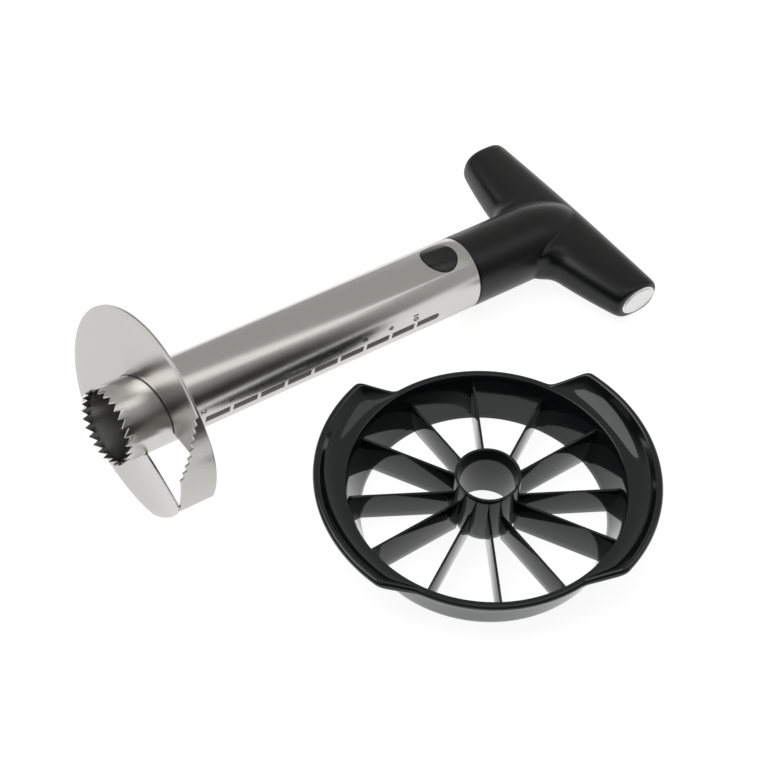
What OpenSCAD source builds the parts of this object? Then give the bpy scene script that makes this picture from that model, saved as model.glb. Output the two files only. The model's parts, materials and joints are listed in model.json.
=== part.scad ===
// Pineapple corer with a slicing disc and a T handle, lying on a table beside its wedging ring.
// The ring's hub stands on the origin and the table is z = 0. The corer lies along +X.
// Distances along the corer run from the disc's front face (0) towards the handle.
// Angles round the corer run from the button's side towards the wedging ring.

/* [Place of the corer] */
// Disc centre from the ring's hub, along X
corer_x = -107.6; // [-120:0.1:-90]
// Corer axis from the ring's hub, along Y
corer_y = 102; // [100:0.1:120]
// Distance along the corer from which the neck's underside lies on the table
rest_s = 202; // [196:1:206]

/* [Core tube] */
// Outer radius of the tube
tube_r = 17; // [15:0.1:17.5]
// Wall of the tube
tube_wall = 1; // [0.8:0.1:1.2]
// Tooth tips ahead of the disc
tube_front = 17.5; // [14:0.5:22]
// End of the tube at the handle
tube_back = 175.9; // [174:0.1:180]

/* [Tube teeth] */
// Number of saw teeth round the mouth
tooth_count = 26; // [20:1:30]
// Depth of a tooth gap
tooth_depth = 2.8; // [1.5:0.1:3.5]
// Place of the gap's root, as a share of the pitch
tooth_lean = 0.2; // [0.1:0.05:0.5]
// Width of the gap at the tips, as a share of the pitch
tooth_share = 0.94; // [0.8:0.01:0.96]
// Length of the ground mouth that carries the teeth
mouth_l = 5; // [4:0.5:8]
// Depth to which the mouth is ground, outside and inside
mouth_grind = 0.1; // [0.05:0.01:0.15]

/* [Cutting disc] */
// Radius of the disc
disc_r = 48; // [44:0.5:50]
// Thickness of the sheet
sheet_t = 1; // [0.8:0.1:1.5]
// Depth of the disc's hole in the tube's wall, at the weld
weld_sink = 0.2; // [0.1:0.05:0.4]
// Angle at which the leading part starts to bend forward
nose_bend_a = 190; // [180:1:200]
// Forward bend of the leading part at the slit's tip
nose_bend = 3.8; // [2:0.1:5]
// Angle at which the trailing part starts to bend back, at the rim
tail_bend_a = 32; // [20:1:45]
// Backward bend of the trailing part
tail_bend = 5.3; // [3:0.1:7]
// Angle at which the trailing part starts to bend back, at the tube
tail_foot_a = -38; // [-60:1:-20]
// Return of the trailing part's free end
tail_return = 1; // [0:0.1:2]

/* [Slit of the disc] */
// Angle of the slit's leading edge at the tube
slit_foot_a = 137.5; // [130:0.5:140]
// Angle of the slit's leading edge at its outer tip
slit_tip_a = 115.4; // [110:0.1:120]
// Radius of the slit's leading edge at its outer tip
slit_tip_r = 42; // [40:0.5:43]
// Angle at which the rim starts to draw in towards that tip
slit_ease_a = 150; // [145:1:160]
// Angle of the trailing part's clean edge
heel_a = 91.2; // [88:0.1:94]
// Radius at which the saw edge starts
heel_r = 31.4; // [30:0.1:33]
// Angle at which the saw edge ends
toe_a = 125.3; // [120:0.1:128]
// Radius at which the saw edge ends
toe_r = 34.6; // [33:0.1:36]
// Angle at which the rim is cut straight
chord_a = 100.5; // [98:0.5:103]
// Angle at which the straight cut would meet the rim again
chord_end_a = 140.3; // [138:0.1:142]
// Angle of the free end's point
point_a = 138.6; // [136:0.1:139]
// Number of teeth on the saw edge
saw_count = 6; // [4:1:8]
// Depth of the saw teeth
saw_depth = 1.2; // [0.6:0.1:1.6]

/* [Handle neck] */
// Radius of the neck where its round end starts
neck_r = 17; // [16.5:0.1:18]
// Distance along the corer at which the neck's round end starts
neck_round_s = 218; // [215:1:222]
// Length of the neck's round end
neck_round = 34; // [30:0.5:35]
// Chamfer of the neck's edge against the tube
neck_chamfer = 0.5; // [0.3:0.1:0.8]

/* [Crossbar] */
// Distance along the corer to the crossbar's straight back
bar_back_s = 253.4; // [252.5:0.1:256]
// Half of the crossbar's length
bar_half = 56.3; // [50:0.1:62]
// Half width of the crossbar in its middle
bar_mid_a = 19.2; // [18:0.1:20]
// Half thickness of the crossbar in its middle
bar_mid_b = 11.8; // [10.5:0.1:12]
// Half width of the crossbar at its ends
bar_end_a = 13.2; // [12:0.1:15]
// Half thickness of the crossbar at its ends
bar_end_b = 8.9; // [8.5:0.1:10]
// Length of the rounding at the crossbar's ends
bar_round = 4; // [3:0.5:7]
// Half width lost in that rounding
bar_round_a = 2.4; // [2:0.1:4]
// Half thickness lost in that rounding
bar_round_b = 0.9; // [0.5:0.1:1.2]
// Radius of the fillet between neck and crossbar
crotch_r = 7; // [5:0.5:8]
// Radius of the core hole through the crossbar
bar_core_r = 5.6; // [4.5:0.1:6]

/* [End caps] */
// Black wall left round the cap at the crossbar's end
cap_wall = 0.8; // [0.6:0.1:1.2]
// Thickness of the cap's plate
cap_t = 1.6; // [1.2:0.1:2.5]
// Length of the cap's spigot in the core hole
cap_spigot = 7; // [4:0.5:10]
// Clearance round the cap and its spigot
cap_gap = 0.1; // [0.05:0.05:0.2]
// Rise of the cap's shallow crown
cap_crown = 0.5; // [0.2:0.1:0.8]

/* [Plug] */
// Distance from the tube's back end to the front of the plug inside it
plug_front_s = 29.9; // [26:0.1:36]
// Wall of the plug
plug_wall = 1.8; // [1.4:0.1:2.2]
// Running clearance between plug and tube
plug_gap = 0.08; // [0.05:0.01:0.1]
// Thickness of the plug's floor ahead of the tube's end
plug_floor = 3; // [2:0.5:4]
// Radius of the plug's spigot in the neck
spigot_r = 13; // [12:0.1:13.5]
// Length of the spigot in the neck
spigot_l = 10; // [6:0.5:14]
// Clearance of the spigot in the neck
spigot_gap = 0.1; // [0.05:0.05:0.2]
// Thickness of the shelf that carries the spring
shelf_t = 2; // [1.5:0.1:3]
// Top of the shelf above the corer's axis
shelf_u = 0; // [-1:0.5:1]

/* [Button] */
// Radius of the button
button_r = 8.4; // [7.5:0.1:8.8]
// Distance from the tube's back end to the button's centre
button_s = 13.9; // [12.9:0.1:15.9]
// Clearance round the button in the tube and the plug
button_gap = 0.3; // [0.2:0.05:0.5]
// Rise of the button's face over the tube
button_proud = 0.3; // [0:0.1:0.8]
// Travel of the button
button_travel = 3; // [2.5:0.1:3.5]
// Width of the button's hidden collar
collar_w = 1.2; // [0.9:0.1:1.4]
// Thickness of that collar
collar_t = 1.4; // [1:0.1:2]
// Clearance between collar and plug
collar_gap = 0.3; // [0.2:0.05:0.5]
// Depth of the thumb dish in the button's face
dish_d = 0.7; // [0.4:0.1:1]

/* [Spring] */
// Middle radius of the spring's coil
coil_r = 4.6; // [4:0.1:5]
// Radius of the spring's wire
wire_r = 0.4; // [0.3:0.05:0.5]
// Number of turns
coil_turns = 5; // [4:1:6]
// Clearance of the spring at its ends
coil_gap = 0.1; // [0.05:0.05:0.2]
// Radius of the post that centres the spring
post_r = 3.4; // [3:0.1:3.5]
// Height of that post
post_h = 2; // [1.5:0.1:2.5]

/* [Screws] */
// Distance of each screw from the corer's axis
screw_x = 8.5; // [8:0.1:9]
// Radius of a screw's shank
screw_r = 1.5; // [1.25:0.05:1.75]
// Length of a screw's shank
screw_l = 22; // [18:0.5:24]
// Radius of a screw's head
screw_head_r = 2.8; // [2.5:0.1:3]
// Height of a screw's head
screw_head_h = 1.8; // [1.5:0.1:2]
// Clearance of a screw in the plug
screw_gap = 0.2; // [0.1:0.05:0.3]

/* [Rim of the ring] */
// Height of the lip
lip_z = 21.8; // [20:0.1:24]
// Outer radius of the lip
lip_r = 63.5; // [62:0.1:65]
// Inner radius of the lip
lip_in_r = 60; // [59:0.1:60.5]
// Thickness of the lip
lip_t = 3; // [2.4:0.1:3.6]
// Outer radius of the wall at the table
foot_r = 55.9; // [55.5:0.1:57]
// Wall of the rim
rim_wall = 2.6; // [2.2:0.1:3]

/* [Grips of the ring] */
// Outer radius of the grips
grip_r = 74.2; // [72:0.1:78]
// Height of the grips' edge
grip_z = 29.3; // [26:0.1:31]
// Angle from the middle of a grip to each of its corners
grip_half_a = 46.5; // [44:0.5:49]
// Angle over which a grip's end runs out into the lip
grip_end_a = 10.5; // [9:0.5:12]
// Rounding of the grips' corners, as a share of their reach past the lip
grip_corner = 0.2; // [0.1:0.05:0.4]
// Rounding where a grip's end meets the lip, as the same share
grip_notch = 0.15; // [0.1:0.05:0.3]
// Thickness of the grips' flange at its edge
grip_t = 2.6; // [2:0.1:3.2]
// Further half thickness of the flange at its root
grip_root = 0.25; // [0.1:0.05:0.3]
// Reach of a grip's end past its root in the lip
grip_stub = 0.8; // [0.5:0.1:1.5]
// Radius of the grips' rolled edge
grip_edge = 1.7; // [1.4:0.1:2]
// Depth of the grips' seat in the lip
grip_sink = 0.3; // [0.2:0.05:0.5]

/* [Hub of the ring] */
// Outer radius of the hub
hub_r = 14.2; // [13.5:0.1:15]
// Wall of the hub
hub_wall = 1.2; // [1:0.1:1.6]
// Height of the hub
hub_h = 28.4; // [24:0.1:32]
// Height of the ground edge at the hub's foot
hub_edge = 4; // [2:0.5:5]

/* [Blades of the ring] */
// Direction of the first blade in plan
blade_a = 56.9; // [50:0.1:60]
// Number of blades, tall and low in turn
blade_count = 12; // [8:2:12]
// Thickness of a blade
blade_t = 1.1; // [0.9:0.1:1.5]
// Thickness of a blade at its cutting edge
blade_edge_t = 0.3; // [0.2:0.1:0.5]
// Height of the ground strip at a blade's foot
blade_grind = 4.5; // [3:0.5:6]
// Top of the tall blades
tall_z = 18.9; // [17:0.1:19.5]
// Top of the low blades
low_z = 15.5; // [13:0.1:16.5]
// Sideways offset of the tall blades
tall_off = 0.85; // [0:0.05:1]
// Sideways offset of the low blades
low_off = 1.6; // [0:0.05:1.8]

/* [Hidden] */
$fn = 96;
cut = 1;                                    // reach of a cutting solid past the face that it cuts
tube_in_r = tube_r - tube_wall;
lie_a = atan((disc_r - neck_r) / rest_s);   // tilt of the corer as it lies on disc and neck
corer_z = disc_r * cos(lie_a) + sheet_t * sin(lie_a);
neck_s = tube_back;
plug_r = tube_in_r - plug_gap;
plug_in_r = plug_r - plug_wall;
collar_r = button_r + collar_w;
button_at = tube_back - button_s;
plug_at = tube_back - plug_front_s;
collar_top = sqrt(plug_in_r * plug_in_r - collar_r * collar_r) - collar_gap;
coil_low = shelf_u + coil_gap;
coil_high = collar_top - collar_t - coil_gap;
screw_s = neck_s - plug_floor;
grip_a = blade_a - 90;                      // the grips stand across the first blade
tail = 360;                                 // the trailing part lies one turn on from the slit

// Places the corer as it lies: its z runs to the handle, its y to the button's side
module on_corer()
    translate([corer_x, corer_y, corer_z]) rotate([0, lie_a, 0]) rotate([90, 0, 90]) children();

// A solid between two cylinders round the z axis
module pipe(r_out, r_in, from_z, to_z)
    difference() {
        translate([0, 0, from_z]) cylinder(r = r_out, h = to_z - from_z);
        translate([0, 0, from_z - cut]) cylinder(r = r_in, h = to_z - from_z + 2 * cut);
    }

// A cylinder along the corer's y, from the middle outwards, at the button
module button_axis(r, from_u, to_u)
    translate([0, from_u, button_at]) rotate([-90, 0, 0]) cylinder(r = r, h = to_u - from_u);

// A closed solid through rings of points, all with the same number of points
module loft(rings) {
    n = len(rings[0]);
    m = len(rings);
    polyhedron(
        points = [for (ring = rings) each ring],
        faces = concat(
            [[for (j = [n - 1 : -1 : 0]) j]],
            [for (i = [0 : m - 2], j = [0 : n - 1])
                let (k = (j + 1) % n) [i * n + j, i * n + k, (i + 1) * n + k, (i + 1) * n + j]],
            [[for (j = [0 : n - 1]) (m - 1) * n + j]]));
}

// A closed ring through sections of points, all with the same number of points
module ring(sections) {
    n = len(sections[0]);
    m = len(sections);
    polyhedron(
        points = [for (section = sections) each section],
        faces = [for (i = [0 : m - 1], j = [0 : n - 1])
            let (k = (j + 1) % n, next = (i + 1) % m) [i * n + j, i * n + k, next * n + k, next * n + j]]);
}

function ellipse(a, b, n = 48) = [for (i = [0 : n - 1]) [a * cos(i * 360 / n), b * sin(i * 360 / n)]];
function ramp(x) = min(max(x, 0), 1);
function smooth(x) = let (k = ramp(x)) k * k * (3 - 2 * k);

// Core tube: one pipe, its mouth ground thinner and cut to saw teeth
module mouth() {
    pitch = 360 / tooth_count;
    corners = [[0, 0], [tooth_lean, tooth_depth], [tooth_share, 0]];
    r_out = tube_r - mouth_grind;
    r_in = tube_in_r + mouth_grind;
    ring([for (i = [0 : tooth_count - 1], c = corners)
        let (a = (i + c[0]) * pitch)
        [for (p = [[r_in, c[1]], [r_out, c[1]], [r_out, mouth_l], [r_in, mouth_l]])
            [p[0] * cos(a), p[0] * sin(a), p[1] - tube_front]]]);
}
module core_tube() color("silver") on_corer() {
    mouth();
    difference() {
        pipe(tube_r, tube_in_r, mouth_l - tube_front, tube_back);
        button_axis(button_r + button_gap, 0, tube_r + cut);
    }
}

// Cutting disc: one sheet, slit from the tube outwards, its two parts bent apart.
// Each column of the sheet is an angle with an inner and an outer radius.
function chord_r(t, p, q) =                 // radius at angle t of the straight line from p to q
    p[1] * q[1] * sin(q[0] - p[0]) / (p[1] * sin(t - p[0]) + q[1] * sin(q[0] - t));
function nose_out(t) =
    disc_r - (disc_r - slit_tip_r) * pow(ramp((slit_ease_a - t) / (slit_ease_a - slit_tip_a)), 1.5);
function tail_out(t) = min(disc_r, t < tail + chord_a ? disc_r
    : chord_r(t, [tail + chord_a, disc_r], [tail + chord_end_a, disc_r]));
function sheet_s(t, r) =
    let (nose = -nose_bend * ramp((nose_bend_a - t) / (nose_bend_a - slit_tip_a)),
         foot = tail_bend * ramp((t - tail - tail_foot_a) / (heel_a - tail_foot_a)),
         rim = tail_bend * smooth((t - tail - tail_bend_a) / (chord_a - tail_bend_a)),
         back = -tail_return * ramp((t - tail - chord_a) / (point_a - chord_a)),
         out = (r - tube_r) / (disc_r - tube_r))
    nose + foot + (rim - foot) * out + back;
function sheet_point(t, r, lift) = [-r * sin(t), r * cos(t), sheet_s(t, r) + lift];
module sheet(cols, rows) {
    n = rows + 1;
    last = len(cols) - 1;
    at = function(i, j, side) (i * n + j) * 2 + side;
    polyhedron(
        points = [for (c = cols, j = [0 : rows], side = [0, 1])
            sheet_point(c[0], c[1] + (c[2] - c[1]) * j / rows, side * sheet_t)],
        faces = concat(
            [for (i = [0 : last - 1], j = [0 : rows - 1])
                [at(i, j, 0), at(i, j + 1, 0), at(i + 1, j + 1, 0), at(i + 1, j, 0)]],
            [for (i = [0 : last - 1], j = [0 : rows - 1])
                [at(i, j, 1), at(i + 1, j, 1), at(i + 1, j + 1, 1), at(i, j + 1, 1)]],
            [for (i = [0 : last - 1]) [at(i, 0, 0), at(i + 1, 0, 0), at(i + 1, 0, 1), at(i, 0, 1)]],
            [for (i = [0 : last - 1])
                [at(i, rows, 0), at(i, rows, 1), at(i + 1, rows, 1), at(i + 1, rows, 0)]],
            [for (j = [0 : rows - 1]) [at(0, j, 0), at(0, j, 1), at(0, j + 1, 1), at(0, j + 1, 0)]],
            [for (j = [0 : rows - 1])
                [at(last, j, 0), at(last, j + 1, 0), at(last, j + 1, 1), at(last, j, 1)]]));
}
module cutting_disc() color("gainsboro") on_corer() {
    hole_r = tube_r - weld_sink;
    foot = [slit_foot_a, hole_r];
    tip = [slit_tip_a, slit_tip_r];
    heel = [tail + heel_a, heel_r];
    toe = [tail + toe_a, toe_r];
    point = [tail + point_a, tail_out(tail + point_a)];
    blunt = 0.4;                            // degrees by which both sharp tips are blunted
    nose_n = 8;
    ring_n = 78;
    end_n = 4;
    saw_a = (toe_a - heel_a) / saw_count;
    cols = concat(
        [for (i = [0 : nose_n - 1])
            let (t = slit_tip_a + blunt + (slit_foot_a - slit_tip_a - blunt) * i / nose_n)
            [t, chord_r(t, tip, foot), nose_out(t)]],
        [for (i = [0 : ring_n])
            let (t = slit_foot_a + (tail + heel_a - slit_foot_a) * i / ring_n)
            [t, hole_r, t < tail ? nose_out(t) : disc_r]],
        [for (i = [0 : saw_count - 1], k = [[0.02, 0], [0.5, 0.4], [0.85, 1], [0.95, 0.3]])
            let (t = tail + heel_a + saw_a * (i + k[0]))
            [t, chord_r(t, heel, toe) - saw_depth * k[1], tail_out(t)]],
        [for (i = [0 : end_n])
            let (t = tail + toe_a + (point_a - blunt - toe_a) * i / end_n)
            [t, chord_r(t, toe, point), tail_out(t)]]);
    sheet(cols, 4);
}

// Handle: neck and crossbar, one hollow moulding
function bar_share(w) = pow(abs(w) / bar_half, 1.6);
function bar_end(w) = let (x = ramp((abs(w) - bar_half + bar_round) / bar_round)) 1 - sqrt(1 - x * x);
function bar_a(w) = bar_mid_a + (bar_end_a - bar_mid_a) * bar_share(w);
function bar_b(w) = bar_mid_b + (bar_end_b - bar_mid_b) * bar_share(w) - bar_round_b * bar_end(w);
function crotch(w) =                        // how far the fillet brings the crossbar's front forward
    let (x = ramp((neck_r + crotch_r - abs(w)) / crotch_r)) crotch_r * (1 - sqrt(1 - x * x));
function bar_ring(w) =
    [for (p = ellipse(1, 1, 36)) let (a = bar_a(w) - bar_round_a * bar_end(w) + (p[0] < 0 ? crotch(w) : 0))
        [w, bar_b(w) * p[1], bar_back_s - bar_a(w) + a * p[0]]];
end_s = bar_back_s - bar_end_a;             // middle of the crossbar's end faces
end_a = bar_end_a - bar_round_a - cap_wall;
end_b = bar_end_b - bar_round_b - cap_wall;
module crossbar() {
    straight = bar_half - bar_round;
    half = concat([neck_r / 2],
        [for (x = [0, 0.1, 0.25, 0.45, 0.7, 1]) neck_r + crotch_r * x],
        [for (x = [0.3, 0.6]) neck_r + crotch_r + (straight - neck_r - crotch_r) * x],
        [for (x = [0, 0.35, 0.6, 0.8, 0.93, 1]) straight + bar_round * x]);
    n = len(half);
    loft([for (w = concat([for (i = [n - 1 : -1 : 0]) -half[i]], [0], half)) bar_ring(w)]);
}
module neck()
    rotate_extrude() polygon(concat(
        [[0, neck_s], [tube_r - neck_chamfer, neck_s], [tube_r, neck_s + neck_chamfer]],
        [for (a = [0 : 6 : 84]) [neck_r * cos(a), neck_round_s + neck_round * sin(a)]],
        [[0, neck_round_s + neck_round]]));
// Everything under the table, seen from the corer
module table_block() {
    room = 4 * bar_half;
    rotate([-lie_a, 0, 0]) translate([-room / 2, -corer_z - room, 0]) cube([room, room, 2 * room]);
}
module handle_shell() color([0.07, 0.075, 0.08]) on_corer() difference() {
    union() {
        neck();
        crossbar();
    }
    table_block();
    translate([0, 0, neck_s - cut]) cylinder(r = spigot_r, h = spigot_l + cut);
    for (side = [-1, 1]) {
        translate([side * screw_x, 0, neck_s]) cylinder(r = screw_r, h = screw_l, $fn = 32);
        translate([side * (bar_half + cut), 0, end_s]) rotate([0, -side * 90, 0])
            linear_extrude(cap_t + cut) polygon(ellipse(end_a, end_b));
    }
    translate([-bar_half - cut, 0, end_s]) rotate([0, 90, 0])
        cylinder(r = bar_core_r, h = 2 * (bar_half + cut), $fn = 48);
}

// End cap: crowned plate with a spigot that snaps in the core hole
module end_cap(side) on_corer()
    translate([side * bar_half, 0, end_s]) rotate([0, -side * 90, 0]) union() {
        linear_extrude(cap_t) polygon(ellipse(end_a - cap_gap, end_b - cap_gap));
        translate([0, 0, -cap_crown]) linear_extrude(cap_crown)
            polygon(ellipse(end_a - cap_gap - 2 * cap_crown, end_b - cap_gap - 2 * cap_crown));
        pipe(bar_core_r - cap_gap, bar_core_r - cap_gap - cap_wall, cap_t, cap_t + cap_spigot);
    }
module end_cap_left() color("silver") end_cap(1);
module end_cap_right() color("silver") end_cap(-1);

// Plug: slides in the tube, carries the button and its spring, and is screwed in the neck
module handle_plug() color([0.12, 0.12, 0.13]) on_corer() difference() {
    shelf_l = screw_s - plug_at;
    head_room = screw_head_h + screw_gap + cut;
    union() {
        pipe(plug_r, plug_in_r, plug_at, neck_s);
        translate([0, 0, screw_s]) cylinder(r = plug_r, h = plug_floor);
        translate([0, 0, screw_s]) cylinder(r = spigot_r - spigot_gap, h = plug_floor + spigot_l);
        translate([0, 0, plug_at]) intersection() {
            translate([-tube_r, shelf_u - shelf_t, 0]) cube([2 * tube_r, shelf_t, shelf_l]);
            cylinder(r = plug_in_r + plug_wall / 2, h = shelf_l);
        }
        button_axis(post_r, shelf_u - shelf_t / 2, shelf_u + post_h);
    }
    button_axis(button_r + button_gap, collar_top, tube_r + cut);
    for (side = [-1, 1]) translate([side * screw_x, 0, screw_s]) {
        translate([0, 0, -cut])
            cylinder(r = screw_r + screw_gap, h = spigot_l + plug_floor + 2 * cut, $fn = 32);
        translate([0, 0, -head_room])
            cylinder(r = screw_head_r + screw_gap, h = head_room, $fn = 32);
    }
}

// Button: round, its face follows the tube, with a thumb dish and a hidden collar
module release_button() color([0.05, 0.05, 0.055]) on_corer() {
    dish_r = (button_r * button_r + dish_d * dish_d) / (2 * dish_d);
    difference() {
        union() {
            intersection() {
                button_axis(button_r, collar_top - cut, tube_r + button_proud);
                cylinder(r = tube_r + button_proud, h = 2 * tube_back);
            }
            button_axis(collar_r, collar_top - collar_t, collar_top);
        }
        translate([0, tube_r + button_proud + dish_r - dish_d, button_at]) sphere(r = dish_r);
    }
}

// Spring: one coil of round wire under the button
module button_spring() color("gray") on_corer() {
    per_turn = 14;
    low = coil_low + wire_r;
    rise = coil_high - coil_low - 2 * wire_r;
    loft([for (i = [0 : coil_turns * per_turn])
        let (a = i * 360 / per_turn, y = low + rise * i / (coil_turns * per_turn))
        [for (p = ellipse(wire_r, wire_r, 6))
            [(coil_r + p[0]) * cos(a), y + p[1], button_at + (coil_r + p[0]) * sin(a)]]]);
}

// Screws: pan heads on the plug's floor, shanks in the neck
module plug_screws() color("dimgray") on_corer()
    for (side = [-1, 1]) translate([side * screw_x, 0, screw_s]) {
        cylinder(r = screw_r, h = screw_l, $fn = 32);
        translate([0, 0, -screw_head_h]) cylinder(r = screw_head_r, h = screw_head_h, $fn = 32);
    }

// Rim of the ring: a tapered wall with a rolled lip
wall_in_top = lip_in_r;
wall_in_foot = foot_r - rim_wall;
function wall_in(z) = wall_in_foot + (wall_in_top - wall_in_foot) * z / lip_z;
module wedger_rim() color([0.05, 0.055, 0.06])
    rotate_extrude() {
        polygon([[wall_in_foot, 0], [foot_r, 0], [wall_in(lip_z - lip_t) + rim_wall, lip_z - lip_t],
                 [lip_r - lip_t / 2, lip_z - lip_t], [lip_r - lip_t / 2, lip_z], [wall_in_top, lip_z]]);
        translate([lip_r - lip_t / 2, lip_z - lip_t / 2]) circle(r = lip_t / 2, $fn = 32);
    }

// Grips of the ring: dished flanges with a rolled edge, running out into the lip at both ends
function soft_min(x, y, c) = min(x, y) - pow(max(c - abs(x - y), 0), 2) / (4 * c);
function grip_share(a) =
    let (t = abs(a),
         end = chord_r(t, [grip_half_a, grip_r], [grip_half_a + grip_end_a, lip_r]),
         x = t < grip_half_a - grip_end_a ? 2 : (end - lip_r) / (grip_r - lip_r))
    -soft_min(-soft_min(x, 1, grip_corner), 0, grip_notch);
function grip_section(k) =
    let (r0 = lip_r - grip_sink,
         width = grip_stub + (grip_r - grip_edge - r0 - grip_stub) * k,
         z0 = lip_z - lip_t / 2,
         rise = (grip_z - grip_edge - z0) * k,
         half_t = grip_t / 2,
         edge = half_t + (grip_edge - half_t) * k,
         tilt = function(x) atan(2 * rise * x / width),
         at = function(x, side)
             let (h = side * (half_t + grip_root * (1 - x * x)))
             [r0 + width * x - h * sin(tilt(x)), z0 + rise * x * x + h * cos(tilt(x))])
    concat(
        [for (x = [0 : 0.25 : 0.75]) at(x, 1)],
        [for (b = [90 : -30 : -90])
            [r0 + width + edge * cos(b + tilt(1)), z0 + rise + edge * sin(b + tilt(1))]],
        [for (x = [0.75 : -0.25 : 0]) at(x, -1)]);
module grip(turn) {
    reach = grip_half_a + 1.5 * grip_end_a;
    bend = grip_half_a - 0.4 * grip_end_a;      // where the corner's rounding starts
    half = concat([for (i = [0 : 16]) reach + (bend - reach) * i / 16], [for (i = [1 : 5]) bend * (1 - i / 6)]);
    angles = concat(half, [0], [for (i = [len(half) - 1 : -1 : 0]) -half[i]]);
    rotate(turn) loft([for (a = angles)
        [for (p = grip_section(grip_share(a))) [p[0] * cos(a), p[0] * sin(a), p[1]]]]);
}
module wedger_grip_right() color([0.05, 0.055, 0.06]) grip(grip_a);
module wedger_grip_left() color([0.05, 0.055, 0.06]) grip(grip_a + 180);

// Hub of the ring: a thin tube, ground to an edge at its foot
module wedger_hub() color([0.05, 0.055, 0.06])
    rotate_extrude() polygon([[hub_r - hub_wall, 0], [hub_r - hub_wall + blade_edge_t, 0], [hub_r, hub_edge],
                              [hub_r, hub_h], [hub_r - hub_wall, hub_h]]);

// Blades of the ring: thin ribs from the hub to the wall, ground at the foot
module blades(first, top, off) color([0.05, 0.055, 0.06]) difference() {
    intersection() {
        for (i = [first : 2 : blade_count - 1]) rotate(blade_a - i * 360 / blade_count)
            translate([0, -off, 0]) rotate([90, 0, 90]) linear_extrude(lip_r)
                polygon([[-blade_t / 2, top], [-blade_t / 2, blade_grind], [-blade_edge_t / 2, 0],
                         [blade_edge_t / 2, 0], [blade_t / 2, blade_grind], [blade_t / 2, top]]);
        rotate_extrude() polygon([[0, 0], [wall_in(0), 0], [wall_in(lip_z), lip_z], [0, lip_z]]);
    }
    translate([0, 0, -cut]) cylinder(r = hub_r, h = hub_h);
}
module wedger_tall_blades() blades(0, tall_z, tall_off);
module wedger_low_blades() blades(1, low_z, low_off);

core_tube();
cutting_disc();
handle_shell();
handle_plug();
release_button();
button_spring();
plug_screws();
end_cap_left();
end_cap_right();
wedger_rim();
wedger_grip_left();
wedger_grip_right();
wedger_hub();
wedger_tall_blades();
wedger_low_blades();
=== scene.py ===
import json
import math

import bmesh
import bpy
from mathutils import Matrix, Vector

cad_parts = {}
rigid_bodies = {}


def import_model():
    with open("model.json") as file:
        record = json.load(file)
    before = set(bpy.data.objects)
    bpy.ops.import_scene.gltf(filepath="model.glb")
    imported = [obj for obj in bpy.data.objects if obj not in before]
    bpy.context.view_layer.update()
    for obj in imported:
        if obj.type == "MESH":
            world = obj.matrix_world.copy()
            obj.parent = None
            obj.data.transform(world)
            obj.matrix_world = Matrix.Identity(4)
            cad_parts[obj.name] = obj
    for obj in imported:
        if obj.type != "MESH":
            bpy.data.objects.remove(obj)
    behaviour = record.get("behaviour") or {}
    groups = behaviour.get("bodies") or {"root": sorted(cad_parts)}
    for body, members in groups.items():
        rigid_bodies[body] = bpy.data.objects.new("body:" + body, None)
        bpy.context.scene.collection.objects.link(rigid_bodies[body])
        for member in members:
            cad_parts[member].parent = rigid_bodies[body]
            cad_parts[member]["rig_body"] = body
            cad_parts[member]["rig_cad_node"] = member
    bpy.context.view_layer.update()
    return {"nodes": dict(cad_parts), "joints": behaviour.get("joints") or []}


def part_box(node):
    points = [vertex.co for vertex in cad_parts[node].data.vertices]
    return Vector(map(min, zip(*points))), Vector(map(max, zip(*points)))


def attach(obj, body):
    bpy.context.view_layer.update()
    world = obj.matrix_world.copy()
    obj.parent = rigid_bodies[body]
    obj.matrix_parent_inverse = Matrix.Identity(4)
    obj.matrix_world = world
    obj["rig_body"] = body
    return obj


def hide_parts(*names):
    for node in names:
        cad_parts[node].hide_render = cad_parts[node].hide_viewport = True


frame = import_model()
nodes = frame["nodes"]
bpy.ops.object.select_all(action="DESELECT")
mm = 0.001

# The photograph's point of view: a long lens, high up beside the ring, turned a little.
# Its place was worked out from the outlines of the tube, the disc and the ring.
look_at = Vector((10.5, 83.1, 0)) * mm
look_azimuth = math.radians(40.62)
look_down = math.radians(50.41)
look_roll = math.radians(3.2)
look_distance = 1055.8 * mm
forward = Vector((
    math.sin(look_azimuth) * math.cos(look_down),
    math.cos(look_azimuth) * math.cos(look_down),
    -math.sin(look_down),
))
camera_data = bpy.data.cameras.new("camera")
camera_data.lens = 109.7
camera_data.sensor_width = 36
camera = bpy.data.objects.new("camera", camera_data)
camera.rotation_mode = "QUATERNION"
camera.location = look_at - forward * look_distance
upright = forward.to_track_quat("-Z", "Y")
camera.rotation_quaternion = upright @ Matrix.Rotation(look_roll, 3, "Z").to_quaternion()
bpy.context.scene.collection.objects.link(camera)
bpy.context.scene.camera = camera

# Soft studio light: a bright table, a room that is grey behind the object and dark low down before it,
# and two soft panels.
bpy.context.scene.view_settings.view_transform = "Standard"


class Wire:
    """A socket in a material's nodes. Sums and products of wires add the Math nodes for them."""

    def __init__(self, tree, socket):
        self.tree = tree
        self.socket = socket

    def math(self, operation, *others):
        return node(self.tree, "Math", {"operation": operation}, dict(enumerate((self, *others))))

    def __add__(self, other):
        return self.math("ADD", other)

    def __sub__(self, other):
        return self.math("SUBTRACT", other)

    def __mul__(self, other):
        return self.math("MULTIPLY", other)

    def __rsub__(self, other):
        return node(self.tree, "Math", {"operation": "SUBTRACT"}, {0: other, 1: self})

    __radd__ = __add__
    __rmul__ = __mul__

    def step(self, low, high):
        """0 below low, 1 above high and smooth between them."""
        settings = {"interpolation_type": "SMOOTHSTEP"}
        return node(self.tree, "MapRange", settings, {"Value": self, "From Min": low, "From Max": high})


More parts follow.
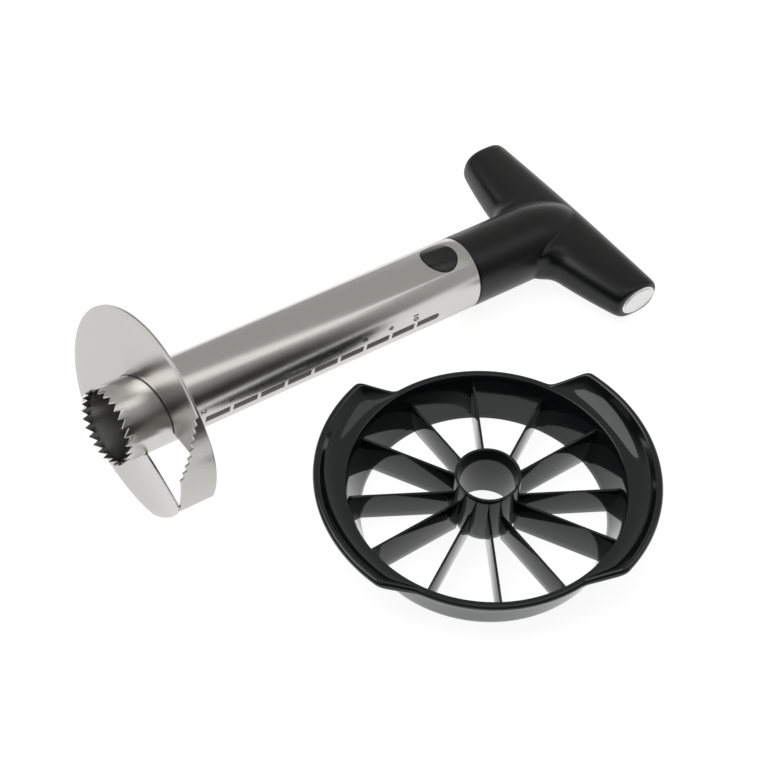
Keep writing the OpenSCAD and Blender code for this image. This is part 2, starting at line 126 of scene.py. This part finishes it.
def node(tree, kind, settings, sockets, output=0):
    """Adds a shader node, its settings first, then the values or wires of its sockets."""
    made = tree.nodes.new("ShaderNode" + kind)
    for name, value in settings.items():
        if name == "stops":
            ramp = made.color_ramp.elements
            while len(ramp) < len(value):
                ramp.new(0.5)
            for element, (place, colour) in zip(ramp, value):
                element.position = place
                element.color = (*colour, 1) if len(colour) == 3 else colour
        else:
            setattr(made, name, value)
    for name, value in sockets.items():
        socket = made.inputs[name]
        if isinstance(value, Wire):
            tree.links.new(value.socket, socket)
        else:
            socket.default_value = value
    return Wire(tree, made.outputs[output])


world = bpy.data.worlds.new("studio")
world.use_nodes = True
sky = world.node_tree
sky.nodes.clear()
direction = node(sky, "TexCoord", {}, {}, "Generated")
east = node(sky, "SeparateXYZ", {}, {"Vector": direction}, "X")
north = node(sky, "SeparateXYZ", {}, {"Vector": direction}, "Y")
height = node(sky, "SeparateXYZ", {}, {"Vector": direction}, "Z")
lit_side = (east * 0.8 + north * 0.6).step(-0.1, 0.3)
dark_side = 0.015 + height.step(0.3, 1.0) * 0.5
glow = (lit_side * 0.47 + (1 - lit_side) * dark_side) * height.step(-0.02, 0.05)
grey_room = node(sky, "CombineColor", {}, {"Red": glow, "Green": glow * 0.995, "Blue": glow * 0.965})
background = node(sky, "Background", {}, {"Color": grey_room, "Strength": 1.0})
sky_out = sky.nodes.new("ShaderNodeOutputWorld")
sky.links.new(background.socket, sky_out.inputs["Surface"])
bpy.context.scene.world = world


def panel(name, place, aim, width, length, power):
    """A soft light panel at place, facing aim."""
    data = bpy.data.lights.new(name, "AREA")
    data.shape = "RECTANGLE"
    data.size = width
    data.size_y = length
    data.energy = power
    lamp = bpy.data.objects.new(name, data)
    lamp.location = place
    lamp.rotation_mode = "QUATERNION"
    lamp.rotation_quaternion = (Vector(aim) - Vector(place)).to_track_quat("-Z", "Y")
    bpy.context.scene.collection.objects.link(lamp)
    return lamp


panel("left_panel", (-0.5, 0.6, 1.05), (0.05, 0.08, 0), 0.9, 0.9, 5.5)
panel("overhead_strip", (0.55, -0.18, 1.1), (0.03, 0.1, 0.04), 0.5, 1.4, 1.6)


def shader(name, colour, rough, metal=0.0):
    """A new material: its tree, its Principled shader and the place on the piece in object coordinates."""
    made = bpy.data.materials.new(name)
    made.use_nodes = True
    tree = made.node_tree
    skin = tree.nodes["Principled BSDF"]
    skin.inputs["Base Color"].default_value = (*colour, 1)
    skin.inputs["Roughness"].default_value = rough
    skin.inputs["Metallic"].default_value = metal
    place = node(tree, "TexCoord", {}, {}, "Object")
    return made, tree, skin, place


def feed(tree, wire, skin, socket):
    tree.links.new(wire.socket, skin.inputs[socket])


# Table: a white matt board. It glows, as the light table under such a picture does.
bpy.ops.mesh.primitive_plane_add(size=6, location=(0.1, 0.1, 0))
table = bpy.context.object
table.name = "table"
paper, paper_tree, paper_skin, paper_place = shader("white_board", (0.3, 0.3, 0.3), 0.9)
paper_skin.inputs["Emission Color"].default_value = (1, 1, 1, 1)
paper_skin.inputs["Emission Strength"].default_value = 0.9
table.data.materials.append(paper)
bpy.ops.object.select_all(action="DESELECT")

# Core tube: stainless pipe, satin brushed round, with the saw teeth cut in its mouth.
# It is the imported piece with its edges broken, so that they catch the light.
press = next(joint for joint in frame["joints"] if joint["name"] == "button_press")
up = -Vector(press["axis"]).normalized()
along = Vector((up.z, 0, -up.x))
across = up.cross(along)
tube_r = 17 * mm
inside_r = 16.4 * mm
# Painted shade: this darker steel colour is put on the tube's bore in place of the shade inside it.
painted_bore_shade = (0.3, 0.3, 0.29, 1)
tube_back = 175.9 * mm
tube_low, tube_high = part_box("core_tube")
disc_centre = Vector((
    tube_high[0] - tube_back * along.x - tube_r * up.x,
    (tube_low[1] + tube_high[1]) / 2,
    tube_low[2] - tube_back * along.z + tube_r * up.z,
))
lie_angle = math.atan2(-along.z, along.x)


def on_corer(s, turn, r):
    """The point s along the corer from the disc, turn round it from the button towards the ring, r out."""
    return disc_centre + along * s + (up * math.cos(turn) - across * math.sin(turn)) * r


def eased(piece, bevel, angle):
    """Breaks the piece's sharp edges by bevel and shades it smooth between them."""
    bpy.context.view_layer.objects.active = piece
    piece.select_set(True)
    if bevel:
        edge = piece.modifiers.new("edge", "BEVEL")
        edge.width = bevel
        edge.segments = 2
        edge.limit_method = "ANGLE"
        edge.angle_limit = math.radians(angle)
        edge.use_clamp_overlap = True
        bpy.ops.object.modifier_apply(modifier=edge.name)
    bpy.ops.object.shade_smooth_by_angle(angle=math.radians(angle))
    piece.select_set(False)


def copied(name, bevel=0.0, angle=35.0):
    """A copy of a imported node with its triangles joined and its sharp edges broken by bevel."""
    piece = nodes[name].copy()
    piece.data = nodes[name].data.copy()
    piece.name = name + "_finished"
    piece.parent = None
    piece.matrix_world = Matrix.Identity(4)
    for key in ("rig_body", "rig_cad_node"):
        del piece[key]
    bpy.context.scene.collection.objects.link(piece)
    bpy.context.view_layer.objects.active = piece
    piece.select_set(True)
    bpy.ops.object.mode_set(mode="EDIT")
    bpy.ops.mesh.select_all(action="SELECT")
    bpy.ops.mesh.remove_doubles(threshold=0.002 * mm)
    bpy.ops.mesh.dissolve_limited(angle_limit=math.radians(0.5))
    bpy.ops.object.mode_set(mode="OBJECT")
    eased(piece, bevel, angle)
    return piece


def dressed(piece, material, body, slot, *replaced):
    """Gives a piece its material and its body, and hides the nodes that it stands for. Its slot is not used.
    """
    piece.data.materials.clear()
    piece.data.materials.append(material)
    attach(piece, body)
    if replaced:
        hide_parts(*replaced)


def corer_place(tree, place):
    """Coordinates along the corer (x), across it (y) and towards the button (z), from the disc's middle."""
    turn = node(tree, "Mapping", {}, {"Vector": place, "Rotation": (0, -lie_angle, 0)})
    middle = Matrix.Rotation(-lie_angle, 3, "Y") @ disc_centre
    return node(tree, "VectorMath", {"operation": "SUBTRACT"}, {0: turn, 1: tuple(middle)})


def brushed(name, colour, rough, stretch, depth):
    """Brushed stainless steel, with painted shade inside the tube: its bore is coloured darker.

    stretch is how dense the brush lines lie along x, y and z, per mm, and depth how deep they are.
    """
    made, tree, skin, place = shader(name, colour, rough, 1.0)
    local = corer_place(tree, place)
    lines = node(tree, "Mapping", {}, {"Vector": local, "Scale": tuple(k / mm for k in stretch)})
    grain = node(tree, "TexNoise", {}, {"Vector": lines, "Scale": 1.0, "Detail": 3.0, "Roughness": 0.6})
    cloud = node(tree, "TexNoise", {}, {"Vector": local, "Scale": 60.0, "Detail": 2.0})
    feed(tree, rough - 0.06 + grain * 0.12 + cloud * 0.04, skin, "Roughness")
    tone = node(tree, "Mix", {"data_type": "RGBA"}, {
        "Factor": grain,
        "A": (*(c * 0.93 for c in colour), 1),
        "B": (*(min(c * 1.06, 1) for c in colour), 1),
    }, 2)
    flat = node(tree, "VectorMath", {"operation": "MULTIPLY"}, {0: local, 1: (0, 1, 1)})
    from_axis = node(tree, "VectorMath", {"operation": "LENGTH"}, {0: flat}, 1)
    # Painted shade: inside the bore the colour turns to the darker steel.
    tone = node(tree, "Mix", {"data_type": "RGBA"}, {
        "Factor": from_axis.step(inside_r - 0.15 * mm, inside_r),
        "A": painted_bore_shade,
        "B": tone,
    }, 2)
    feed(tree, tone, skin, "Base Color")
    bump = node(tree, "Bump", {}, {"Strength": depth, "Distance": 0.05 * mm, "Height": grain})
    feed(tree, bump, skin, "Normal")
    return made


tube_steel = brushed("tube_steel", (0.6, 0.59, 0.565), 0.2, (9, 0.12, 0.12), 0.3)
core_tube = copied("core_tube", 0.08 * mm, 30)
dressed(core_tube, tube_steel, "corer", "tube_steel", "core_tube")

# Scale: nine grey bars and the numbers 2 to 10, printed on the tube beside the ring.
# They tell how many slices are on the tube.
scale_first = 22.8 * mm
scale_pitch = 14.55 * mm
bar_length = 12.6 * mm
bar_turn = math.radians(92.3)
bar_width = 3.1 * mm
digit_turn = math.radians(76)
digit_height = 2.8 * mm
digit_bold = 0.09 * mm
digit_lead = 2.6 * mm
digit_share = 0.72
print_lift = 0.07 * mm
etched, etched_tree, etched_skin, etched_place = shader("etched_grey", (0.1, 0.097, 0.092), 0.5)
spots = node(etched_tree, "TexNoise", {}, {"Vector": etched_place, "Scale": 4000.0, "Detail": 2.0})
feed(etched_tree, 0.4 + spots * 0.25, etched_skin, "Roughness")


def wrapped(piece, start, turn):
    """Wraps a flat piece on the tube: its x runs round the tube, its y towards the handle."""
    for vertex in piece.data.vertices:
        x, y, z = vertex.co
        vertex.co = on_corer(start + y, turn + x / tube_r, tube_r + print_lift + z)


def print_on_tube(name, start, turn):
    """Wraps the active flat mesh and gives it the etched finish."""
    piece = bpy.context.object
    piece.name = name
    wrapped(piece, start, turn)
    dressed(piece, etched, "corer", "tube_steel")
    piece.select_set(False)


for number in range(2, 11):
    start = scale_first + (number - 2) * scale_pitch
    bpy.ops.mesh.primitive_grid_add(x_subdivisions=4, y_subdivisions=24, size=1)
    bar = bpy.context.object
    for vertex in bar.data.vertices:
        far = vertex.co.y + 0.5
        round_l = bar_width / 2
        past = (far * bar_length - bar_length + round_l) / round_l
        narrow = math.sqrt(max(1 - past ** 2, 0)) if number == 10 and past > 0 else 1
        vertex.co.x *= bar_width * narrow
        vertex.co.y = far * bar_length
    print_on_tube(f"scale_bar_{number}", start, bar_turn)
    bpy.ops.object.text_add()
    digit = bpy.context.object
    digit.data.body = str(number)
    digit.data.size = digit_height / digit_share
    digit.data.offset = digit_bold
    digit.data.align_x = "CENTER"
    bpy.ops.object.convert(target="MESH")
    print_on_tube(f"scale_number_{number}", start - digit_lead, digit_turn)

# Cutting disc: a stainless sheet welded on the tube, one turn of a screw from its slit round to its end.
# On the rim of the trailing part stands a wall with a slanted saw edge. It cuts the slices round.
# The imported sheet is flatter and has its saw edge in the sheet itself, so this piece stands for it.
disc_steel = brushed("disc_steel", (0.5, 0.49, 0.475), 0.22, (0.4, 9, 0.4), 0.12)
disc_r, hole_r, sheet_t = 48.0, 16.8, 1.0
nose_foot_a, nose_tip_a, nose_tip_r, nose_blunt_a = 120.0, 97.5, 47.6, 0.6
nose_bend_a, nose_foot_bend, nose_rim_bend = 190.0, 7.3, 12.5
nose_draw_a, nose_draw = 155.0, 2.7
end_a = 360 + 91.2
foot_bend_a, foot_bend = 360 - 38.0, 6.2
rim_bend_a, rim_bend_end_a, rim_bend = 360 + 32.0, 360 + 100.5, 5.3
saw_a, saw_end_a, wall_end_a = 360 + 50.5, 360 + 81.5, 360 + 102.5
saw_s, saw_end_s, wall_end_s = 0.9, -12.0, -10.8
saw_teeth, saw_rise, saw_tip_share, saw_back_share = 9, 1.9, 0.2, 0.6
wall_sink = 0.4


def progress(x, first, last):
    """How far x is on the way from first to last, from 0 to 1."""
    return min(max((x - first) / (last - first), 0), 1)


def sheet_s(a, r):
    """Where the sheet's front face lies along the corer, a degrees round from the button and r out, in mm."""
    out = (r - tube_r / mm) / (disc_r - tube_r / mm)
    nose = progress(a, nose_bend_a, nose_tip_a)
    foot = foot_bend * progress(a, foot_bend_a, end_a) - nose_foot_bend * nose
    turn = progress(a, rim_bend_a, rim_bend_end_a)
    rim = rim_bend * turn * turn * (3 - 2 * turn) - nose_rim_bend * nose * nose
    return foot + (rim - foot) * out


def sheet_rim(a):
    """Radius of the rim, drawn in a little near the leading part's tip."""
    return disc_r - nose_draw * math.sin(math.pi * progress(a, nose_draw_a, nose_tip_a))


def slit_r(a):
    """Radius of the leading part's straight edge, from its tip to its foot."""
    if a > nose_foot_a:
        return hole_r
    to_tip, to_foot = math.radians(a - nose_tip_a), math.radians(nose_foot_a - a)
    slant = nose_tip_r * math.sin(to_tip) + hole_r * math.sin(to_foot)
    return hole_r * nose_tip_r * math.sin(to_tip + to_foot) / slant


def lofted(name, columns):
    """A closed skin over columns, each the points (angle, radius, place along) round one section, in mm."""
    skin = bmesh.new()
    rings = [[skin.verts.new(on_corer(s * mm, math.radians(a), r * mm)) for a, r, s in column]
             for column in columns]
    for here, there in zip(rings, rings[1:]):
        for i in range(len(here)):
            j = (i + 1) % len(here)
            skin.faces.new((here[i], here[j], there[j], there[i]))
    skin.faces.new(rings[0])
    skin.faces.new(rings[-1])
    bmesh.ops.recalc_face_normals(skin, faces=skin.faces)
    data = bpy.data.meshes.new(name)
    skin.to_mesh(data)
    skin.free()
    piece = bpy.data.objects.new(name, data)
    bpy.context.scene.collection.objects.link(piece)
    return piece


def sheet_column(a):
    """The sheet's section at an angle: out on its front face and in on its back."""
    inner, outer = slit_r(a), sheet_rim(a)
    radii = [inner + (outer - inner) * i / 8 for i in range(9)]
    return [(a, r, sheet_s(a, r)) for r in radii] + [(a, r, sheet_s(a, r) + sheet_t) for r in reversed(radii)]


def wall_column(a, front):
    """The wall's section at an angle, from its front edge to the sheet's rim."""
    back = sheet_s(a, disc_r) + (wall_sink if a < end_a else sheet_t)
    return [(a, disc_r - sheet_t, front), (a, disc_r, front), (a, disc_r, back), (a, disc_r - sheet_t, back)]


nose_start_a = nose_tip_a + nose_blunt_a
columns = [sheet_column(nose_start_a + (nose_foot_a - nose_start_a) * i / 12) for i in range(12)]
columns += [sheet_column(nose_foot_a + (end_a - nose_foot_a) * i / 150) for i in range(151)]
cutting_disc = lofted("cutting_disc_finished", columns)
eased(cutting_disc, 0.12 * mm, 50)
dressed(cutting_disc, disc_steel, "corer", "disc_steel", "cutting_disc")

pitch_a, pitch_s = (saw_end_a - saw_a) / saw_teeth, (saw_end_s - saw_s) / saw_teeth
columns = []
for tooth in range(saw_teeth):
    a, front = saw_a + pitch_a * tooth, saw_s + pitch_s * tooth
    columns.append(wall_column(a, front))
    columns.append(wall_column(a + pitch_a * saw_tip_share, front - saw_rise))
    columns.append(wall_column(a + pitch_a * saw_back_share, front + (pitch_s - saw_rise) / 2))
for i in range(9):
    a = saw_end_a + (wall_end_a - saw_end_a) * i / 8
    front = saw_end_s + (wall_end_s - saw_end_s) * i / 8
    columns.append(wall_column(a, front))
saw_wall = lofted("cutting_disc_saw_wall", columns)
eased(saw_wall, 0, 50)
dressed(saw_wall, disc_steel, "corer", "disc_steel")

# Weld: the thin dark seam between the sheet's front face and the tube.
# It follows the sheet's foot once round.
weld_dark, weld_tree, weld_skin, weld_place = shader("weld_dark", (0.06, 0.055, 0.05), 0.5, 0.8)
spots = node(weld_tree, "TexNoise", {}, {"Vector": weld_place, "Scale": 1500.0})
feed(weld_tree, 0.35 + spots * 0.3, weld_skin, "Roughness")
weld_r, weld_half = 17.02, 0.28
weld_start_a, weld_end_a = nose_foot_a + 2, end_a - 1
columns = []
for i in range(121):
    a = weld_start_a + (weld_end_a - weld_start_a) * i / 120
    columns.append([(a, weld_r + weld_half * math.cos(turn), sheet_s(a, weld_r) + weld_half * math.sin(turn))
                    for turn in (k * math.tau / 8 for k in range(8))])
weld = lofted("weld_seam", columns)
eased(weld, 0, 60)
dressed(weld, weld_dark, "corer", "disc_steel")

# Handle: one black moulding of a round neck and a crossbar, with a fine satin grain.
# The neck runs as a low hump into the crossbar, and a crease on both sides shows where they meet.
# A pocket and a bore in each end take the caps, and the neck's socket takes the plug.
handle_black, handle_tree, handle_skin, handle_place = shader("handle_black", (0.002, 0.003, 0.0027), 0.26)
handle_skin.inputs["Specular IOR Level"].default_value = 0.38
grain = node(handle_tree, "TexNoise", {}, {"Vector": handle_place, "Scale": 5000.0, "Detail": 2.0})
worn = node(handle_tree, "TexNoise", {}, {"Vector": handle_place, "Scale": 40.0, "Detail": 3.0})
feed(handle_tree, 0.27 + grain * 0.06 + worn * 0.06, handle_skin, "Roughness")
bump = node(handle_tree, "Bump", {}, {"Strength": 0.1, "Distance": 0.02 * mm, "Height": grain})
feed(handle_tree, bump, handle_skin, "Normal")
neck_r, neck_chamfer = 17.0, 0.5
neck_round_s, neck_round = 218.0, 34.0
neck_start = 175.9
bar_half, bar_back_s = 56.3, 253.4
bar_middle = (19.2, 11.8)
bar_end = (13.2, 8.9)
bar_round, bar_round_a, bar_round_b = 4.0, 2.4, 0.9
bar_square = 2.6
back_trim, front_trim = 1.7, 0.5
crotch_r = 7.0
cap_wall, cap_depth, cap_bore_r = 0.8, 1.6, 5.6
socket_r, socket_depth = 13.0, 10.0


def rolled(name, rows, columns, at):
    """A closed skin of a grid that is rolled up: at(row, turn) places each point, turn in radians."""
    bpy.ops.mesh.primitive_grid_add(x_subdivisions=columns, y_subdivisions=rows - 1, size=2)
    skin = bpy.context.object
    skin.name = name
    for vertex in skin.data.vertices:
        turn = (vertex.co.x + 1) * math.pi
        vertex.co = at(round((vertex.co.y + 1) / 2 * (rows - 1)), turn)
    bpy.ops.object.mode_set(mode="EDIT")
    bpy.ops.mesh.select_all(action="SELECT")
    bpy.ops.mesh.remove_doubles(threshold=0.002 * mm)
    bpy.ops.mesh.normals_make_consistent(inside=False)
    bpy.ops.object.mode_set(mode="OBJECT")
    skin.select_set(False)
    return skin


def combined(piece, other, operation):
    """Joins other to piece, or cuts it out, and deletes it."""
    join = piece.modifiers.new("join", "BOOLEAN")
    join.operation = operation
    join.solver = "EXACT"
    join.object = other
    bpy.context.view_layer.objects.active = piece
    bpy.ops.object.modifier_apply(modifier=join.name)
    bpy.data.objects.remove(other)


def handle_point(w, u, s):
    """The point w across the corer, u towards the button and s along it, in mm."""
    return disc_centre + (across * w + up * u + along * s) * mm


def quarter(x):
    """A quarter circle: 0 at 0 and 1 at 1, level at first and steep at the end."""
    return 1 - math.sqrt(1 - min(max(x, 0), 1) ** 2)


def bar_sizes(w):
    """Middle, half thickness and reach to the back and to the front of the crossbar, w from its middle."""
    share = (abs(w) / bar_half) ** 1.6
    end = quarter((abs(w) - bar_half + bar_round) / bar_round)
    wide = bar_middle[0] + (bar_end[0] - bar_middle[0]) * share
    thick = bar_middle[1] + (bar_end[1] - bar_middle[1]) * share - bar_round_b * end
    back = wide - back_trim - bar_round_a / 2 * end
    front = wide - front_trim - bar_round_a / 2 * end
    front += crotch_r * quarter((neck_r + crotch_r - abs(w)) / crotch_r)
    return bar_back_s - wide, thick, back, front


def squared(x):
    """A sine or cosine drawn out, so that an ellipse becomes a little squarer."""
    return math.copysign(abs(x) ** (2 / bar_square), x)


bar_steps = 150
bar_rows = [(-bar_half, 0)]
bar_rows += [(-bar_half * math.cos(math.pi * i / bar_steps), 1) for i in range(bar_steps + 1)]
bar_rows.append((bar_half, 0))


def bar_point(row, turn):
    w, share = bar_rows[row]
    middle, thick, back, front = bar_sizes(w)
    reach = back if math.cos(turn) > 0 else front
    rise = thick * squared(math.sin(turn)) * share
    return handle_point(w, rise, middle + reach * squared(math.cos(turn)) * share)


neck_rows = [(0, neck_start), (neck_r - neck_chamfer, neck_start), (neck_r, neck_start + neck_chamfer)]
neck_rows += [(neck_r, neck_start + (neck_round_s - neck_start) * i / 12) for i in range(1, 12)]
neck_rows += [(neck_r * math.cos(math.radians(a)), neck_round_s + neck_round * math.sin(math.radians(a)))
              for a in range(0, 90, 3)]
neck_rows.append((0, neck_round_s + neck_round))


def neck_point(row, turn):
    r, s = neck_rows[row]
    return handle_point(r * math.sin(turn), r * math.cos(turn), s)


handle = rolled("handle_finished", len(bar_rows), 96, bar_point)
combined(handle, rolled("neck", len(neck_rows), 128, neck_point), "UNION")
handle.select_set(True)
bpy.ops.object.mode_set(mode="EDIT")
bpy.ops.mesh.select_all(action="SELECT")
bpy.ops.mesh.bisect(plane_co=(0, 0, 0), plane_no=(0, 0, 1), use_fill=True, clear_inner=True)
bpy.ops.object.mode_set(mode="OBJECT")
remesh = handle.modifiers.new("remesh", "REMESH")
remesh.mode = "VOXEL"
remesh.voxel_size = 0.55 * mm
bpy.ops.object.modifier_apply(modifier=remesh.name)
soften = handle.modifiers.new("soften", "SMOOTH")
soften.factor = 0.5
soften.iterations = 12
bpy.ops.object.modifier_apply(modifier=soften.name)
handle.select_set(False)


def cutter(rows, columns, at):
    """Cuts a rolled skin out of the handle."""
    combined(handle, rolled("cutter", len(rows), columns, at), "DIFFERENCE")


end_s = bar_back_s - bar_end[0]
end_a = bar_end[0] - bar_round_a - cap_wall
end_b = bar_end[1] - bar_round_b - cap_wall
bore_rows = [(-bar_half - 1, 0), (-bar_half - 1, 1), (bar_half + 1, 1), (bar_half + 1, 0)]
cutter(bore_rows, 48, lambda row, turn: handle_point(
    bore_rows[row][0], cap_bore_r * math.sin(turn) * bore_rows[row][1],
    end_s + cap_bore_r * math.cos(turn) * bore_rows[row][1]))
for side in (-1, 1):
    pocket_rows = [(bar_half + 1, 0), (bar_half + 1, 1), (bar_half - cap_depth, 1), (bar_half - cap_depth, 0)]
    cutter(pocket_rows, 48, lambda row, turn: handle_point(
        side * pocket_rows[row][0], end_b * math.sin(turn) * pocket_rows[row][1],
        end_s + end_a * math.cos(turn) * pocket_rows[row][1]))
socket_rows = [(0, neck_start - 1), (socket_r, neck_start - 1),
               (socket_r, neck_start + socket_depth), (0, neck_start + socket_depth)]
cutter(socket_rows, 64, lambda row, turn: handle_point(
    socket_rows[row][0] * math.sin(turn), socket_rows[row][0] * math.cos(turn), socket_rows[row][1]))
bpy.context.view_layer.objects.active = handle
handle.select_set(True)
bpy.ops.object.shade_smooth_by_angle(angle=math.radians(40))
handle.select_set(False)
dressed(handle, handle_black, "corer", "handle_black", "handle_shell")

# Plug, button, spring and screws: the lock between handle and tube, hidden but for the button.
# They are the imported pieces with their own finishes.
plug_black, plug_tree, plug_skin, plug_place = shader("plug_black", (0.02, 0.02, 0.021), 0.45)
spots = node(plug_tree, "TexNoise", {}, {"Vector": plug_place, "Scale": 3000.0})
feed(plug_tree, 0.38 + spots * 0.15, plug_skin, "Roughness")
dressed(copied("handle_plug", 0.15 * mm), plug_black, "corer", "plug_black", "handle_plug")

button_black, button_tree, button_skin, button_place = shader("button_black", (0.002, 0.0026, 0.0022), 0.3)
spots = node(button_tree, "TexNoise", {}, {"Vector": button_place, "Scale": 4000.0})
feed(button_tree, 0.24 + spots * 0.12, button_skin, "Roughness")
dressed(copied("release_button", 0.3 * mm), button_black, "button", "button_black", "release_button")

wire_steel, wire_tree, wire_skin, wire_place = shader("spring_steel", (0.55, 0.55, 0.55), 0.3, 1.0)
spots = node(wire_tree, "TexNoise", {}, {"Vector": wire_place, "Scale": 2500.0})
feed(wire_tree, 0.22 + spots * 0.16, wire_skin, "Roughness")
dressed(copied("button_spring"), wire_steel, "corer", "spring_steel", "button_spring")

screw_steel, screw_tree, screw_skin, screw_place = shader("screw_steel", (0.5, 0.5, 0.5), 0.35, 1.0)
spots = node(screw_tree, "TexNoise", {}, {"Vector": screw_place, "Scale": 2500.0})
feed(screw_tree, 0.28 + spots * 0.16, screw_skin, "Roughness")
dressed(copied("plug_screws", 0.15 * mm), screw_steel, "corer", "screw_steel", "plug_screws")

# End caps: satin silver plates snapped in the ends of the crossbar.
cap_silver, cap_tree, cap_skin, cap_place = shader("cap_silver", (0.8, 0.8, 0.8), 0.3, 0.7)
spots = node(cap_tree, "TexNoise", {}, {"Vector": cap_place, "Scale": 3000.0})
feed(cap_tree, 0.28 + spots * 0.14, cap_skin, "Roughness")
dressed(copied("end_cap_left", 0.2 * mm), cap_silver, "corer", "cap_silver", "end_cap_left")
dressed(copied("end_cap_right", 0.2 * mm), cap_silver, "corer", "cap_silver", "end_cap_right")

# Wedging ring: one glossy black moulding.
# Its rim and grips are one flowing sheet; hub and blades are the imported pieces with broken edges.
ring_black, ring_tree, ring_skin, ring_place = shader("ring_black", (0.005, 0.0085, 0.008), 0.06)
waves = node(ring_tree, "TexNoise", {}, {"Vector": ring_place, "Scale": 35.0, "Detail": 2.0})
specks = node(ring_tree, "TexNoise", {}, {"Vector": ring_place, "Scale": 900.0, "Detail": 2.0})
feed(ring_tree, 0.03 + waves * 0.04 + specks * 0.03, ring_skin, "Roughness")
bump = node(ring_tree, "Bump", {}, {"Strength": 0.15, "Distance": 0.1 * mm, "Height": waves})
feed(ring_tree, bump, ring_skin, "Normal")
lip_r, lip_z, lip_t, lip_in_r = 63.5, 21.8, 3.0, 60.0
foot_r, wall = 55.9, 2.6
grip_r, grip_z, grip_t, grip_edge = 74.2, 29.3, 2.6, 1.7
grip_corner, grip_end = math.radians(46.5), math.radians(10.5)
corner_softness, notch_softness = 0.2, 0.15
grip_middle = math.radians(-33.1)
roll_r, roll_z = lip_r - lip_t / 2, lip_z - lip_t / 2


def soft_min(x, y, softness):
    """The lower of x and y, rounded over where they are closer than softness."""
    return min(x, y) - max(softness - abs(x - y), 0) ** 2 / (4 * softness)


def grip_share(turn):
    """How far a grip stands out at this angle, from 0 at the lip to 1. Its ends are straight cuts."""
    off = abs((turn - grip_middle + math.pi / 2) % math.pi - math.pi / 2)
    share = 2
    if off > grip_corner - grip_end:
        last = grip_corner + grip_end
        slant = grip_r * math.sin(off - grip_corner) + lip_r * math.sin(last - off)
        share = (grip_r * lip_r * math.sin(grip_end) / slant - lip_r) / (grip_r - lip_r)
    return -soft_min(-soft_min(share, 1, corner_softness), 0, notch_softness)


def arc(r, z, radius, first, last, steps):
    """Points on a circle's arc in the section, first and last in degrees."""
    for i in range(steps + 1):
        a = math.radians(first + (last - first) * i / steps)
        yield r + radius * math.cos(a), z + radius * math.sin(a)


def rim_section(k):
    """The rim's outline in radius and height where a grip stands out by k."""
    in_r = foot_r - wall
    rise = (grip_z - grip_edge - roll_z) * k
    edge_r = roll_r + (grip_r - grip_edge - roll_r) * k
    edge = lip_t / 2 + (grip_edge - lip_t / 2) * k
    slope = (lip_in_r - in_r) / lip_z
    inner = lip_in_r + 0.8

    def flange(r, side):
        out = max(r - inner, 0) / (edge_r - inner)
        lean = math.atan2(2 * rise * out, edge_r - inner)
        half = side * (lip_t + (grip_t - lip_t) * k * out) / 2
        return r - half * math.sin(lean), roll_z + rise * out * out + half * math.cos(lean)

    under = in_r + slope * (lip_z - lip_t) + wall + 0.6
    lean = math.degrees(math.atan2(2 * rise, edge_r - inner))
    points = list(arc(in_r + 0.5, 0.5, 0.5, 270, 180, 3))
    points += [(in_r + slope * z, z) for z in (3, 4.4, 6, 9, 12, 15, 18, 20.2)]
    points += list(arc(inner, lip_z - 0.8, 0.8, 165, 90, 4))
    points += [flange(inner + (edge_r - inner) * x, 1) for x in (0.12, 0.24, 0.36, 0.48, 0.6, 0.72, 0.86)]
    points += list(arc(edge_r, roll_z + rise, edge, 90 + lean, lean - 90, 12))
    points += [flange(edge_r + (under - edge_r) * x, -1) for x in (0.12, 0.24, 0.36, 0.5, 0.65, 0.8, 0.92)]
    points += list(arc(under + 0.2, roll_z - lip_t / 2 - 0.8, 0.8, 100, 165, 3))
    points += [(in_r + wall + slope * z, z) for z in (16, 12, 9, 6, 3, 1)]
    points += list(arc(foot_r - 0.4, 0.4, 0.4, 340, 270, 2))
    return points


around = 480
section = rim_section(0)
bpy.ops.mesh.primitive_grid_add(x_subdivisions=around, y_subdivisions=len(section), size=2)
rim = bpy.context.object
rim.name = "wedger_rim_and_grips"
outlines = {}
for vertex in rim.data.vertices:
    turn = round((vertex.co.x + 1) / 2 * around) % around * math.tau / around
    row = round((vertex.co.y + 1) / 2 * len(section)) % len(section)
    if turn not in outlines:
        outlines[turn] = rim_section(grip_share(turn))
    r, z = outlines[turn][row]
    vertex.co = Vector((r * math.cos(turn), r * math.sin(turn), z)) * mm
bpy.ops.object.mode_set(mode="EDIT")
bpy.ops.mesh.select_all(action="SELECT")
bpy.ops.mesh.remove_doubles(threshold=0.002 * mm)
bpy.ops.mesh.normals_make_consistent(inside=False)
bpy.ops.object.mode_set(mode="OBJECT")
bpy.ops.object.shade_smooth_by_angle(angle=math.radians(40))
rim.select_set(False)
dressed(rim, ring_black, "ring", "ring_black", "wedger_rim", "wedger_grip_left", "wedger_grip_right")
dressed(copied("wedger_hub", 0.4 * mm), ring_black, "ring", "ring_black", "wedger_hub")
dressed(copied("wedger_tall_blades", 0.2 * mm), ring_black, "ring", "ring_black", "wedger_tall_blades")
dressed(copied("wedger_low_blades", 0.2 * mm), ring_black, "ring", "ring_black", "wedger_low_blades")
